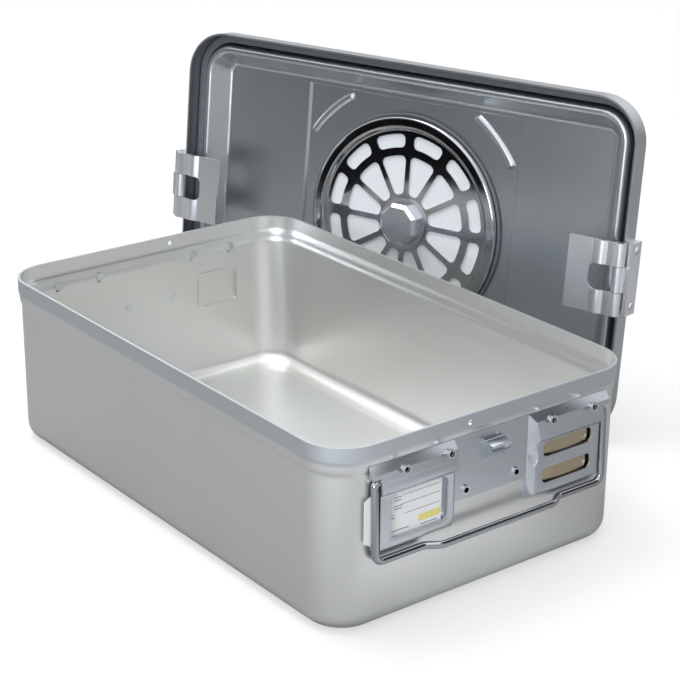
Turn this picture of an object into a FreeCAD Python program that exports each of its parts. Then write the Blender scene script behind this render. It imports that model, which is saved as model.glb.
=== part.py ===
import FreeCAD, Part
import math
import os

Vector = FreeCAD.Vector
Rotation = FreeCAD.Rotation

# Sterilization container: a drawn aluminium tray with a handle panel on each end, and its filter lid.
# Millimetres. Origin: centre of the tray's base on the floor. +X runs along the tray to the near end,
# +Y across it towards the standing lid, +Z up. The lid is modelled as it closes, edge down, about the
# centre of its edge plane, and is then stood on its long side behind the tray.

# Tray
tray_length = 445.0
tray_width = 280.0
tray_height = 141.0
tray_corner = 34.0
tray_sheet = 2.0
rim_band = 13.0
rim_blend = 8.0
rim_step = 5.5
rim_bend = 9.0
base_fillet = 14.0
floor_bead_inset = 24.0
floor_bead_width = 7.0
floor_bead_rise = 1.6
rim_hole = 4.0
rim_hole_offset = -22.0
rim_hole_drop = 6.5

# End panel, the same on both ends
plate_sheet = 1.5
plate_half_width = 103.0
plate_foot = 59.0
plate_centre_foot = 75.0
plate_top_gap = 3.0
label_inner_side = -36.0
tag_inner_side = 34.0
holder_depth = 11.0
holder_lip_rise = 9.0
holder_lip_fall = 3.5
holder_flange_foot = 111.0
frame_depth = 7.5
holder_foot_gap = 1.0
label_window_width = 44.5
label_window_height = 31.0
label_window_side = -47.5
label_window_foot = 68.4
window_corner = 4.0
card_width = 66.0
card_height = 41.0
card_sheet = 0.6
card_stick_out = 8.0
card_corner_cut = 9.0
card_slot_gap = 0.4
emboss_width = 43.0
emboss_height = 34.0
emboss_play = 1.0
rivet_shank = 4.0
rivet_head = 7.0
rivet_head_rise = 1.2
rivet_tail_face = 4.2
rivet_cup_rim = 0.7
rivet_fit = 0.05
top_rivet_height = 116.5
centre_rivet_height = 84.0
centre_rivet_pitch = 47.0
label_rivet_places = (-82.0, -42.0)
tag_rivet_places = (52.0, 92.0)

# Catch nose and its seal hole
catch_width = 20.0
catch_reach = 16.0
catch_foot = 104.5
catch_bore = 4.5
catch_bore_back = 3.6
catch_tip = 5.0
catch_root = 3.5
catch_edge = 1.0

# Tag holder and its spring clips
tag_side_slant = 4.0
tag_wall = 2.0
tag_window_width = 45.0
tag_window_height = 11.0
tag_window_side = 91.0
tag_window_foots = (70.5, 91.0)
tag_notch_radius = 9.0
clip_sheet = 0.8
clip_bow = 6.2
clip_edge_gap = 0.6

# Wire bail
wire = 5.0
bail_pivot_out = 6.7
bail_pivot_height = 113.0
bail_drop = 58.5
bail_side_gap = 1.0
bail_corner = 7.0
bail_grip_half = 58.0
bail_grip_offset = 8.0
bail_kink_run = 10.0
bail_kink_bend = 8.0
bail_end_depth = 8.0
bail_fit = 0.08
bail_end_bend = 3.4

# Lid
lid_sheet = 1.5
lid_gap = 3.0
skirt_height = 21.0
shoulder_bend = 5.0
channel_width = 11.0
ridge_run = 2.5
ridge_width = 3.5
ridge_rise = 11.0
ridge_bend = 2.2
dome_run = 11.5
dome_height = 27.5
dome_bend = 6.0
zone_half = 112.0
zone_rise = 2.5
zone_slope = 3.0
zone_margin = 3.0
bead_ring = 122.0
bead_from = 34.5
bead_to = 57.5
bead_tube = 5.0
bead_lift = 2.4
vent_bore = 9.0
vent_rings = ((34.0, 8), (60.0, 16))
gasket_play = 0.5
gasket_height = 6.4
gasket_crown = 1.0
gasket_outer_chamfer = 1.8

# Filter and its retention plate
filter_radius = 90.0
filter_sheet = 0.9
filter_play = 0.3
retainer_radius = 95.0
retainer_sheet = 1.2
retainer_ring_width = 12.0
retainer_ring_lift = 4.2
retainer_ring_slope = 2.0
retainer_bend = 1.6
retainer_play = 1.0
spoke_count = 12
spoke_width = 4.6
window_inner = 25.5
window_outer = 60.0
window_round = 4.5
slot_inner = 67.0
slot_outer = 79.0
slot_bridge = 9.0
slot_round = 4.5
seal_tube = 3.0
knob_flange_radius = 23.0
knob_flange_sheet = 2.0
knob_across_flats = 36.0
knob_height = 10.0
knob_chamfer = 3.0
post_radius = 5.0
post_fit = 0.08
post_groove = 1.2
post_chamfer = 1.0
knob_floor = 2.0
knob_play = 0.15

# Lid latches
latch_length = 61.0
latch_axis_in = 1.0
latch_axis_drop = 6.8
knuckle_radius = 4.5
knuckle_gap = 0.4
middle_knuckle = 22.0
pin_radius = 2.0
pin_fit = 0.08
leaf_thickness = 8.0
leaf_rise = 13.0
leaf_front_foot = 2.0
leaf_arm = 4.0
leaf_clear = 1.5
leaf_play = 0.3
leaf_rivet_inset = 7.0
leaf_rivet_rise = 4.6
flap_sheet = 2.5
flap_reach = 45.0
flap_valley = 10.5
flap_ridge = 16.5
flap_flat = 22.0
flap_low = 1.0
flap_high = 4.2
flap_bend = 3.2
flap_window_end = 25.0
flap_window_round = 6.0

# How the lid stands behind the tray in the photograph
lid_stand_x = -112.5
lid_stand_y = 166.8
lid_turn = 18.0
lid_lean = 6.1

# Worked out from the values above
wall_face = tray_length / 2 - rim_step
blend_foot = tray_height - rim_band - rim_blend
plate_face = wall_face + plate_sheet
plate_top = blend_foot - plate_top_gap
holder_front = wall_face + holder_depth
frame_front = wall_face + frame_depth
holder_foot = plate_foot + holder_foot_gap
bail_axis_x = wall_face + bail_pivot_out
bail_leg_y = plate_half_width + bail_side_gap + wire / 2
lid_length = tray_length + 2 * (lid_gap + lid_sheet)
lid_width = tray_width + 2 * (lid_gap + lid_sheet)
lid_corner = tray_corner + lid_gap + lid_sheet
dome_inset = channel_width + ridge_run + ridge_width + dome_run
zone_inside = dome_height + zone_rise - lid_sheet
latch_axis_x = lid_length / 2 - latch_axis_in
latch_side = latch_length / 2
latch_gap_side = middle_knuckle / 2
catch_top = plate_top
retainer_top = zone_inside - filter_sheet - 2 * filter_play
retainer_flat = retainer_top - retainer_sheet
knob_top = retainer_flat - knob_play
knob_shoulder = knob_top - knob_flange_sheet
knob_foot = knob_shoulder - knob_height


def box(x0, x1, y0, y1, z0, z1):
    return Part.makeBox(x1 - x0, y1 - y0, z1 - z0, Vector(x0, y0, z0))


def rod(radius, length, base, direction):
    return Part.makeCylinder(radius, length, Vector(*base), Vector(*direction))


def bent_edges(points, radii):
    """Edges of an open path in the XZ plane, with its inner corners rounded."""
    edges = []
    start = Vector(*points[0])
    for before, corner, after, radius in zip(points, points[1:], points[2:], radii):
        corner = Vector(*corner)
        back = (Vector(*before) - corner).normalize()
        ahead = (Vector(*after) - corner).normalize()
        turn = math.pi - back.getAngle(ahead)
        run = radius * math.tan(turn / 2)
        middle = (back + ahead).normalize() * (radius / math.cos(turn / 2) - radius)
        first = corner + back * run
        last = corner + ahead * run
        edges.append(Part.LineSegment(start, first).toShape())
        edges.append(Part.Arc(first, corner + middle, last).toShape())
        start = last
    edges.append(Part.LineSegment(start, Vector(*points[-1])).toShape())
    return edges


def sheet_section(path, radii, thickness):
    """Face of a bent sheet: the path (x, z) is one skin, and the other lies a thickness to its left."""
    flat = [Vector(x, 0, z) for x, z in path]
    normals = []
    for start, end in zip(flat, flat[1:]):
        along = (end - start).normalize()
        normals.append(Vector(-along.z, 0, along.x))
    offset = [flat[0] + normals[0] * thickness]
    other_radii = []
    for place, point in enumerate(flat[1:-1]):
        before = normals[place]
        after = normals[place + 1]
        half = (before + after) * (thickness / (1 + before.dot(after)))
        offset.append(point + half)
        turns_left = before.z * after.x - before.x * after.z < 0
        other_radii.append(radii[place] - thickness if turns_left else radii[place] + thickness)
    offset.append(flat[-1] + normals[-1] * thickness)
    near = bent_edges([tuple(p) for p in flat], radii)
    far = bent_edges([tuple(p) for p in offset], other_radii)
    ends = [Part.LineSegment(flat[place], offset[place]).toShape() for place in (0, -1)]
    return Part.Face(Part.Wire(Part.__sortEdges__(near + far + ends)))


def frame_of(section, length, width, corner, filled):
    """Carry a section round a rounded rectangle. Its x is the distance inwards from the outline."""
    along_x = length - 2 * corner
    along_y = width - 2 * corner
    pieces = []
    for turned in (0, 180):
        side = section.copy()
        side.rotate(Vector(0, 0, 0), Vector(0, 0, 1), 180)
        side.translate(Vector(length / 2, -along_y / 2, 0))
        side = side.extrude(Vector(0, along_y, 0))
        side.rotate(Vector(0, 0, 0), Vector(0, 0, 1), turned)
        pieces.append(side)
        side = section.copy()
        side.rotate(Vector(0, 0, 0), Vector(0, 0, 1), -90)
        side.translate(Vector(-along_x / 2, width / 2, 0))
        side = side.extrude(Vector(along_x, 0, 0))
        side.rotate(Vector(0, 0, 0), Vector(0, 0, 1), turned)
        pieces.append(side)
        for start in (0, 90):
            wedge = section.copy()
            wedge.rotate(Vector(0, 0, 0), Vector(0, 0, 1), 180)
            wedge.translate(Vector(corner, 0, 0))
            wedge = wedge.revolve(Vector(0, 0, 0), Vector(0, 0, 1), 90)
            wedge.rotate(Vector(0, 0, 0), Vector(0, 0, 1), start)
            wedge.translate(Vector(along_x / 2 if start == 0 else -along_x / 2, along_y / 2, 0))
            wedge.rotate(Vector(0, 0, 0), Vector(0, 0, 1), turned)
            pieces.append(wedge)
    if filled:
        bounds = section.BoundBox
        ends = [v.Point.z for v in section.Vertexes if abs(v.Point.x - bounds.XMax) < 1e-6]
        pieces.append(box(-along_x / 2, along_x / 2, -along_y / 2, along_y / 2, min(ends), max(ends)))
    return pieces[0].multiFuse(pieces[1:]).removeSplitter()


def block(y0, y1, z0, z1, x0, x1, radius):
    """A block seen from the end of the tray, with its four upright corners rounded."""
    body = box(x0, x1, y0, y1, z0, z1)
    edges = [e for e in body.Edges if abs(e.Vertexes[0].Point.x - e.Vertexes[1].Point.x) > 1e-6]
    return body.makeFillet(radius, edges)


def profile_along_y(points, y0, y1):
    """Extrude a closed outline of (x, z) points across the end panel."""
    wire_points = [Vector(x, y0, z) for x, z in points]
    face = Part.Face(Part.makePolygon(wire_points + wire_points[:1]))
    return face.extrude(Vector(0, y1 - y0, 0))


def rivet_spots():
    spots = [(y, top_rivet_height, holder_front) for y in label_rivet_places + tag_rivet_places]
    for side in (-1, 1):
        spots.append((side * centre_rivet_pitch / 2, centre_rivet_height, plate_face))
    return spots


def rivet_holes():
    holes = []
    for y, z, front in rivet_spots():
        start = wall_face - 2 * tray_sheet
        reach = front - start + rivet_head_rise
        holes.append(rod(rivet_shank / 2 + rivet_fit, reach, (start, y, z), (1, 0, 0)))
    return Part.makeCompound(holes)


def both_ends(shape):
    far = shape.copy()
    far.rotate(Vector(0, 0, 0), Vector(0, 0, 1), 180)
    return Part.makeCompound([shape, far])


def emboss(grow, lift):
    """The shallow rectangle pressed outwards behind the label, as a block from the wall's inner face."""
    centre = label_window_side - label_window_width / 2
    middle = label_window_foot + label_window_height / 2
    return block(centre - emboss_width / 2 - grow, centre + emboss_width / 2 + grow,
                 middle - emboss_height / 2 - grow, middle + emboss_height / 2 + grow,
                 wall_face - tray_sheet - 1, wall_face + lift, window_corner)


def tray_shell():
    """Drawn tray: an upright wall, a rim band that steps out over it, and a raised panel in the floor."""
    path = [(0, tray_height), (0, tray_height - rim_band), (rim_step, blend_foot), (rim_step, 0),
            (tray_corner, 0)]
    section = sheet_section(path, [rim_bend, rim_bend, base_fillet], tray_sheet)
    shell = frame_of(section, tray_length, tray_width, tray_corner, True)
    raised = box(-tray_length / 2 + floor_bead_inset, tray_length / 2 - floor_bead_inset,
                 -tray_width / 2 + floor_bead_inset, tray_width / 2 - floor_bead_inset,
                 tray_sheet - floor_bead_rise / 2, tray_sheet + floor_bead_rise)
    upright = [e for e in raised.Edges if abs(e.Vertexes[0].Point.z - e.Vertexes[1].Point.z) > 1e-6]
    raised = raised.makeFillet(base_fillet, upright)
    top = [e for e in raised.Edges if e.BoundBox.ZMin > tray_sheet + floor_bead_rise - 1e-6]
    raised = raised.makeFillet(floor_bead_rise * 0.9, top)
    shell = shell.fuse(raised)
    shell = shell.fuse(both_ends(emboss(0, plate_sheet)))
    shell = shell.cut(both_ends(emboss(-tray_sheet, plate_sheet - tray_sheet)))
    shell = shell.cut(both_ends(rivet_holes()))
    hole_height = tray_height - rim_hole_drop
    hole_start = (tray_length / 2 - 2 * tray_sheet, rim_hole_offset, hole_height)
    hole = rod(rim_hole / 2, 3 * tray_sheet, hole_start, (1, 0, 0))
    return shell.cut(both_ends(hole)).removeSplitter()


def end_plate():
    """Flat plate riveted to the end wall behind both holders, opened over the pressed rectangle."""
    plate = box(wall_face, plate_face, -plate_half_width, plate_half_width, plate_centre_foot, plate_top)
    label_back = box(wall_face, plate_face, -plate_half_width, label_inner_side, plate_foot, plate_top)
    tag_back = box(wall_face, plate_face, tag_inner_side, plate_half_width, plate_foot, plate_top)
    plate = plate.multiFuse([label_back, tag_back]).removeSplitter()
    return plate.cut(emboss(emboss_play, plate_sheet + 1)).cut(rivet_holes())


def holder_outline(front):
    """Section of a holder: a flange that tucks in under the rim band, over a frame at its own depth."""
    lip = plate_top + holder_lip_rise
    return [(plate_face, holder_foot), (plate_face, plate_top), (wall_face + rim_step, lip),
            (holder_front, lip - holder_lip_fall), (holder_front, holder_flange_foot),
            (front, holder_flange_foot - (holder_front - front)), (front, holder_foot)]


def bail_bores():
    reach = bail_end_depth + 1
    radius = wire / 2 + bail_fit
    left = rod(radius, reach, (bail_axis_x, -plate_half_width, bail_pivot_height), (0, 1, 0))
    right = rod(radius, reach, (bail_axis_x, plate_half_width, bail_pivot_height), (0, -1, 0))
    return Part.makeCompound([left, right])


def label_holder():
    """Window frame for the contents card, open at its outer side so that the card slides in."""
    body = profile_along_y(holder_outline(frame_front), -plate_half_width, label_inner_side)
    pocket_top = label_window_foot + label_window_height / 2 + card_height / 2 + card_slot_gap
    pocket_foot = pocket_top - card_height - 2 * card_slot_gap
    pocket_side = -plate_half_width - card_stick_out + card_width + card_slot_gap
    pocket = box(plate_face - 1, plate_face + card_sheet + 2 * card_slot_gap,
                 -plate_half_width - 1, pocket_side, pocket_foot, pocket_top)
    window = block(label_window_side - label_window_width, label_window_side,
                   label_window_foot, label_window_foot + label_window_height,
                   plate_face, frame_front + 1, window_corner)
    return body.cut(pocket).cut(window).cut(rivet_holes()).cut(bail_bores())


def label_card():
    """Contents card in the holder's slot, with its free corners cut off."""
    side = -plate_half_width - card_stick_out
    middle = label_window_foot + label_window_height / 2
    foot = middle - card_height / 2
    top = middle + card_height / 2
    back = plate_face + card_slot_gap
    inner = side + card_width
    cut = side + card_corner_cut / 2
    corners = [(cut, foot), (inner, foot), (inner, top), (cut, top),
               (side, top - card_corner_cut), (side, foot + card_corner_cut / 2)]
    points = [Vector(back, y, z) for y, z in corners]
    face = Part.Face(Part.makePolygon(points + points[:1]))
    return face.extrude(Vector(card_sheet, 0, 0))


def tag_holder():
    """Open-backed frame with a slanted inner side, two windows and a finger notch between them."""
    body = profile_along_y(holder_outline(holder_front), tag_inner_side, plate_half_width)
    front = holder_front + 1
    corners = [(plate_face - 1, tag_inner_side - 1), (front, tag_inner_side - 1),
               (front, tag_inner_side + tag_side_slant), (plate_face, tag_inner_side),
               (plate_face - 1, tag_inner_side)]
    points = [Vector(x, y, 0) for x, y in corners]
    slant = Part.Face(Part.makePolygon(points + points[:1])).extrude(Vector(0, 0, tray_height))
    cavity = box(plate_face - 1, holder_front - tag_wall, tag_inner_side + tag_side_slant + tag_wall,
                 plate_half_width - tag_wall, holder_foot + tag_wall, holder_flange_foot - tag_wall)
    body = body.cut(slant).cut(cavity)
    for foot in tag_window_foots:
        body = body.cut(block(tag_window_side - tag_window_width, tag_window_side,
                              foot, foot + tag_window_height,
                              holder_front - tag_wall - 1, front, window_corner))
    notch_height = (tag_window_foots[0] + tag_window_height + tag_window_foots[1]) / 2
    notch_start = (plate_face + tag_wall, tag_inner_side, notch_height)
    notch = rod(tag_notch_radius, holder_depth, notch_start, (1, 0, 0))
    return body.cut(notch).cut(rivet_holes()).cut(bail_bores())


def tag_clips():
    """Two bowed spring-steel tongues behind the tag windows, standing on the end plate at both ends."""
    y0 = tag_inner_side + tag_side_slant + tag_wall + clip_edge_gap
    y1 = plate_half_width - tag_wall - clip_edge_gap
    middle = (y0 + y1) / 2
    clips = []
    for foot in tag_window_foots:
        low = foot - clip_edge_gap
        high = foot + tag_window_height + clip_edge_gap
        crown = Vector(plate_face + clip_bow, middle, low)
        inner = Part.Arc(Vector(plate_face, y0, low), crown, Vector(plate_face, y1, low))
        outer = Part.Arc(Vector(plate_face, y0 - clip_sheet / 2, low),
                         Vector(plate_face + clip_bow + clip_sheet, middle, low),
                         Vector(plate_face, y1 + clip_sheet / 2, low))
        ends = [Part.LineSegment(inner.StartPoint, outer.StartPoint),
                Part.LineSegment(inner.EndPoint, outer.EndPoint)]
        edges = [inner.toShape(), outer.toShape()] + [e.toShape() for e in ends]
        clips.append(Part.Face(Part.Wire(Part.__sortEdges__(edges))).extrude(Vector(0, 0, high - low)))
    return Part.makeCompound(clips)


def catch_nose():
    """Wedge nose that the closed latch hooks over, with a hole near its tip for a seal."""
    tip = plate_face + catch_reach
    middle = (catch_top + catch_foot) / 2
    top = middle + catch_tip / 2
    foot = middle - catch_tip / 2
    outline = [(plate_face, catch_foot - catch_edge), (plate_face, catch_top),
               (plate_face + catch_root, catch_top), (tip - catch_edge, top), (tip, top - catch_edge),
               (tip, foot), (tip - 2 * catch_edge, foot - catch_edge),
               (plate_face + catch_root, catch_foot)]
    nose = profile_along_y(outline, -catch_width / 2, catch_width / 2)
    bore_start = (tip - catch_bore_back, -catch_width / 2 - 1, middle)
    bore = rod(catch_bore / 2, catch_width + 2, bore_start, (0, 1, 0))
    return nose.cut(bore)


def rivet(front, back, y, z):
    """Rivet along X from an inner head at the back to a flat outer head with a hollow at the front."""
    head = rivet_head / 2
    shank = rivet_shank / 2
    crown = front + rivet_head_rise
    tail = back - rivet_head_rise
    points = [(0, tail), (rivet_tail_face / 2, tail), (head, back), (shank, back), (shank, front),
              (head, front), (head - rivet_cup_rim, crown), (shank, crown), (0, front)]
    section = [Vector(x, radius, 0) for radius, x in points]
    face = Part.Face(Part.makePolygon(section + section[:1]))
    body = face.revolve(Vector(0, 0, 0), Vector(1, 0, 0), 360)
    body.translate(Vector(0, y, z))
    return body


def panel_rivets():
    return Part.makeCompound([rivet(front, wall_face - tray_sheet, y, z) for y, z, front in rivet_spots()])


def bail():
    """Bent wire handle: ends turned into both holders, two legs, and a bar whose middle stands out."""
    top = bail_pivot_height
    foot = top - bail_drop
    end = plate_half_width - bail_end_depth
    shift = bail_axis_x + bail_grip_offset
    kink = bail_kink_run / 2
    half = [(bail_axis_x, end, top), (bail_axis_x, bail_leg_y, top), (bail_axis_x, bail_leg_y, foot),
            (bail_axis_x, bail_grip_half + kink, foot), (shift, bail_grip_half - kink, foot)]
    points = [(x, -y, z) for x, y, z in half] + [(x, y, z) for x, y, z in reversed(half)]
    bends = [bail_end_bend, bail_corner, bail_kink_bend, bail_kink_bend]
    route = Part.Wire(bent_edges(points, bends + bends[::-1]))
    circle = Part.Wire(Part.makeCircle(wire / 2, Vector(*points[0]), Vector(0, 1, 0)))
    return route.makePipeShell([circle], True, False)


def lid_shell():
    """Pressed lid: a deep skirt, a gasket channel, a locating ridge and a dome with a raised zone."""
    ridge_foot = skirt_height - ridge_rise
    ridge_start = channel_width + ridge_run
    path = [(0, 0), (0, skirt_height), (channel_width, skirt_height), (ridge_start, ridge_foot),
            (ridge_start + ridge_width, ridge_foot), (dome_inset, dome_height), (lid_corner, dome_height)]
    radii = [shoulder_bend, ridge_bend + lid_sheet, ridge_bend, ridge_bend, dome_bend]
    section = sheet_section(path, radii, -lid_sheet)
    shell = frame_of(section, lid_length, lid_width, lid_corner, True)
    half_y = lid_width / 2 - dome_inset - zone_margin
    raised = zone_block(zone_half, half_y, dome_height - lid_sheet / 2, dome_height + zone_rise)
    hollow = zone_block(zone_half - lid_sheet, half_y - lid_sheet, dome_height - 2 * lid_sheet, zone_inside)
    shell = shell.fuse(raised).cut(hollow)
    for flip_x in (0, 180):
        for span in ((bead_from, bead_to), (180 - bead_to, 180 - bead_from)):
            shell = shell.fuse(arc_bead(bead_tube, span, flip_x))
    for flip_x in (0, 180):
        for span in ((bead_from, bead_to), (180 - bead_to, 180 - bead_from)):
            shell = shell.cut(arc_bead(bead_tube - lid_sheet, span, flip_x))
    holes = []
    for ring, count in vent_rings:
        for place in range(count):
            turn = 2 * math.pi * place / count
            centre = (ring * math.cos(turn), ring * math.sin(turn), zone_inside - 1)
            holes.append(rod(vent_bore / 2, 3 * lid_sheet, centre, (0, 0, 1)))
    return shell.cut(Part.makeCompound(holes)).cut(leaf_rivet_holes()).removeSplitter()


def zone_block(half_x, half_y, foot, top):
    """The raised middle of the lid, narrower at its top."""
    corners = []
    for z, inset in ((foot, 0), (top, zone_slope)):
        x = half_x - inset
        y = half_y - inset
        points = [Vector(-x, -y, z), Vector(x, -y, z), Vector(x, y, z), Vector(-x, y, z)]
        corners.append(Part.makePolygon(points + points[:1]))
    return Part.makeLoft(corners, True, True)


def arc_bead(tube, span, turned):
    """Part of a ring with round ends, set so that it stands inside the lid by the bead's lift."""
    height = zone_inside - bead_lift + bead_tube
    circle = Part.Face(Part.Wire(Part.makeCircle(tube, Vector(bead_ring, 0, height), Vector(0, 1, 0))))
    bead = circle.revolve(Vector(0, 0, 0), Vector(0, 0, 1), span[1] - span[0])
    bead.rotate(Vector(0, 0, 0), Vector(0, 0, 1), span[0])
    parts = [bead]
    for angle in span:
        turn = math.radians(angle)
        end = Vector(bead_ring * math.cos(turn), bead_ring * math.sin(turn), height)
        parts.append(Part.makeSphere(tube, end))
    whole = parts[0].multiFuse(parts[1:])
    below = box(-bead_ring * 2, bead_ring * 2, -bead_ring * 2, bead_ring * 2, 0, zone_inside + lid_sheet)
    whole = whole.common(below)
    whole.rotate(Vector(0, 0, 0), Vector(0, 0, 1), turned)
    return whole


def lid_gasket():
    """Silicone gasket in the channel: a chamfered foot in the bends of the sheet and a rounded lip."""
    inner = lid_sheet + gasket_play
    outer = channel_width - lid_sheet - gasket_play
    roof = skirt_height - lid_sheet
    lip = roof - gasket_height + gasket_crown
    inner_chamfer = shoulder_bend - lid_sheet - gasket_play
    corners = [(outer, lip), (outer, roof - gasket_outer_chamfer), (outer - gasket_outer_chamfer, roof),
               (inner + inner_chamfer, roof), (inner, roof - inner_chamfer), (inner, lip)]
    points = [Vector(x, 0, z) for x, z in corners]
    edges = [Part.LineSegment(start, end).toShape() for start, end in zip(points, points[1:])]
    crown = Vector((inner + outer) / 2, 0, lip - gasket_crown)
    edges.append(Part.Arc(points[0], crown, points[-1]).toShape())
    section = Part.Face(Part.Wire(Part.__sortEdges__(edges)))
    return frame_of(section, lid_length, lid_width, lid_corner, False)


def turned(points):
    """Revolve a closed outline of (radius, height) points about the lid's centre."""
    section = [Vector(radius, 0, height) for radius, height in points]
    return Part.Face(Part.makePolygon(section + section[:1])).revolve(Vector(0, 0, 0), Vector(0, 0, 1), 360)


def filter_disc():
    top = zone_inside - filter_play
    disc = rod(filter_radius, filter_sheet, (0, 0, top - filter_sheet), (0, 0, 1))
    hole = rod(post_radius + 2 * post_fit, 3 * filter_sheet, (0, 0, top - 2 * filter_sheet), (0, 0, 1))
    return disc.cut(hole)


def ring_window(inner, outer, bridge, rounding):
    """A window between two radii whose sides keep half a bridge off the spokes on each side."""
    height = 6 * retainer_sheet
    foot = retainer_flat - 2 * retainer_sheet
    band = rod(outer, height, (0, 0, foot), (0, 0, 1)).cut(rod(inner, height, (0, 0, foot), (0, 0, 1)))
    step = math.pi / spoke_count
    reach = outer * 1.2
    shift = bridge / 2 / math.sin(step)
    points = [Vector(shift, 0, foot), Vector(shift + reach * math.cos(step), -reach * math.sin(step), foot),
              Vector(shift + reach * math.cos(step), reach * math.sin(step), foot)]
    wedge = Part.Face(Part.makePolygon(points + points[:1])).extrude(Vector(0, 0, height))
    window = band.common(wedge)
    upright = [e for e in window.Edges if abs(e.Vertexes[0].Point.z - e.Vertexes[-1].Point.z) > height / 2]
    return window.makeFillet(rounding, upright)


def filter_retainer():
    """Stainless retention plate: a raised rim ring, twelve spokes, and a row of slots outside them."""
    inner_ring = retainer_radius - retainer_ring_width
    ring_flat = retainer_flat - retainer_ring_lift
    path = [(post_radius + post_fit, retainer_flat), (inner_ring, retainer_flat),
            (inner_ring + retainer_ring_slope, ring_flat), (retainer_radius, ring_flat),
            (retainer_radius, zone_inside - retainer_play)]
    outer_bend = retainer_bend + retainer_sheet
    section = sheet_section(path, [retainer_bend, outer_bend, outer_bend], retainer_sheet)
    plate = section.revolve(Vector(0, 0, 0), Vector(0, 0, 1), 360)
    first_window = ring_window(window_inner, window_outer, spoke_width, window_round)
    first_slot = ring_window(slot_inner, slot_outer, slot_bridge, slot_round)
    cuts = []
    for place in range(spoke_count):
        for tool in (first_window, first_slot):
            cut = tool.copy()
            cut.rotate(Vector(0, 0, 0), Vector(0, 0, 1), 360 * (place + 0.5) / spoke_count)
            cuts.append(cut)
    return plate.cut(Part.makeCompound(cuts))


def retainer_seal():
    """Silicone ring round the plate's edge, against the lid."""
    centre = retainer_radius + seal_tube / 2
    height = zone_inside - seal_tube / 2 - filter_play
    return Part.makeTorus(centre, seal_tube / 2, Vector(0, 0, height), Vector(0, 0, 1))


def retainer_knob():
    """Polished turn knob: a round flange and a chamfered octagon, hollow for the post."""
    flange = rod(knob_flange_radius, knob_flange_sheet, (0, 0, knob_shoulder), (0, 0, 1))
    across = knob_across_flats / 2
    rings = []
    for radius, height in ((across - knob_chamfer, knob_foot), (across, knob_foot + knob_chamfer),
                           (across, knob_shoulder)):
        corner = radius / math.cos(math.pi / 8)
        points = []
        for place in range(8):
            turn = math.pi / 8 * (2 * place + 1)
            points.append(Vector(corner * math.cos(turn), corner * math.sin(turn), height))
        rings.append(Part.makePolygon(points + points[:1]))
    body = Part.makeLoft(rings, True, True)
    post_hole = rod(post_radius + post_fit, knob_top - knob_foot, (0, 0, knob_foot + knob_floor), (0, 0, 1))
    return flange.fuse(body).cut(post_hole)


def lid_post():
    """Grooved stud at the middle of the lid that the knob locks on."""
    tip = knob_foot + 2 * knob_floor
    groove = post_radius - post_groove
    middle = (tip + retainer_flat) / 2
    return turned([(0, tip), (post_radius - post_chamfer, tip), (post_radius, tip + post_chamfer),
                   (post_radius, middle - post_groove), (groove, middle - post_groove),
                   (groove, middle + post_groove), (post_radius, middle + post_groove),
                   (post_radius, zone_inside), (0, zone_inside)])


def leaf_rivet_spots():
    reach = latch_side - leaf_rivet_inset
    return [(-reach, leaf_rivet_rise), (reach, leaf_rivet_rise)]


def leaf_rivet_holes():
    holes = []
    for y, z in leaf_rivet_spots():
        start = lid_length / 2 - 2 * lid_sheet
        reach = 2 * lid_sheet + leaf_thickness + rivet_head_rise
        holes.append(rod(rivet_shank / 2 + rivet_fit, reach, (start, y, z), (1, 0, 0)))
    return both_ends(Part.makeCompound(holes))


def knuckle(y0, y1):
    return rod(knuckle_radius, y1 - y0, (latch_axis_x, y0, -latch_axis_drop), (0, 1, 0))


def pin_hole():
    start = (latch_axis_x, -latch_side - 1, -latch_axis_drop)
    return rod(pin_radius + pin_fit, latch_length + 2, start, (0, 1, 0))


def latch_leaf():
    """Extruded leaf riveted outside the skirt, with the middle knuckle of the hinge."""
    skin = lid_length / 2
    outer = skin + leaf_thickness
    front_inside = latch_axis_x + knuckle_radius + leaf_clear
    body = box(skin, outer, -latch_side, latch_side, leaf_play, leaf_rise + leaf_play)
    front = box(front_inside, outer, -latch_side, latch_side, leaf_front_foot - latch_axis_drop, leaf_rise)
    middle = latch_gap_side - knuckle_gap
    arm = box(latch_axis_x, outer, -middle, middle, -latch_axis_drop, leaf_arm - latch_axis_drop)
    body = body.multiFuse([front, arm, knuckle(-middle, middle)])
    return body.cut(pin_hole()).cut(leaf_rivet_holes()).removeSplitter()


def latch_flap():
    """Extruded flap folded in under the lid's edge, with two knuckles and a window with a round end."""
    x = latch_axis_x
    z = -latch_axis_drop
    root = z - knuckle_radius + flap_sheet
    low = z - flap_low
    path = [(x, root), (x - knuckle_radius, root), (x - flap_valley, low), (x - flap_ridge, z - flap_high),
            (x - flap_flat, low), (x - flap_reach, low)]
    outer_bend = flap_bend + flap_sheet
    section = sheet_section(path, [outer_bend, flap_bend, outer_bend, flap_bend], flap_sheet)
    section.translate(Vector(0, -latch_side, 0))
    plate = section.extrude(Vector(0, latch_length, 0))
    side = latch_gap_side
    plate = plate.multiFuse([knuckle(-latch_side, -side), knuckle(side, latch_side)])
    reach = 2 * knuckle_radius
    gap = box(x - knuckle_radius - flap_window_round, x + reach, -side, side, z - reach, z + reach)
    window = box(x - flap_window_end, x, -side, side, z - reach, z + reach)
    far_side = [e for e in window.Edges if e.BoundBox.XMax < x - flap_window_end + 1e-6]
    ends = [e for e in far_side if e.BoundBox.ZLength > reach]
    window = window.makeFillet(flap_window_round, ends)
    return plate.cut(gap).cut(window).cut(pin_hole()).removeSplitter()


def latch_pin():
    return rod(pin_radius, latch_length, (latch_axis_x, -latch_side, -latch_axis_drop), (0, 1, 0))


def latch_rivets():
    front = lid_length / 2 + leaf_thickness
    back = lid_length / 2 - lid_sheet
    return Part.makeCompound([rivet(front, back, y, z) for y, z in leaf_rivet_spots()])


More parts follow.
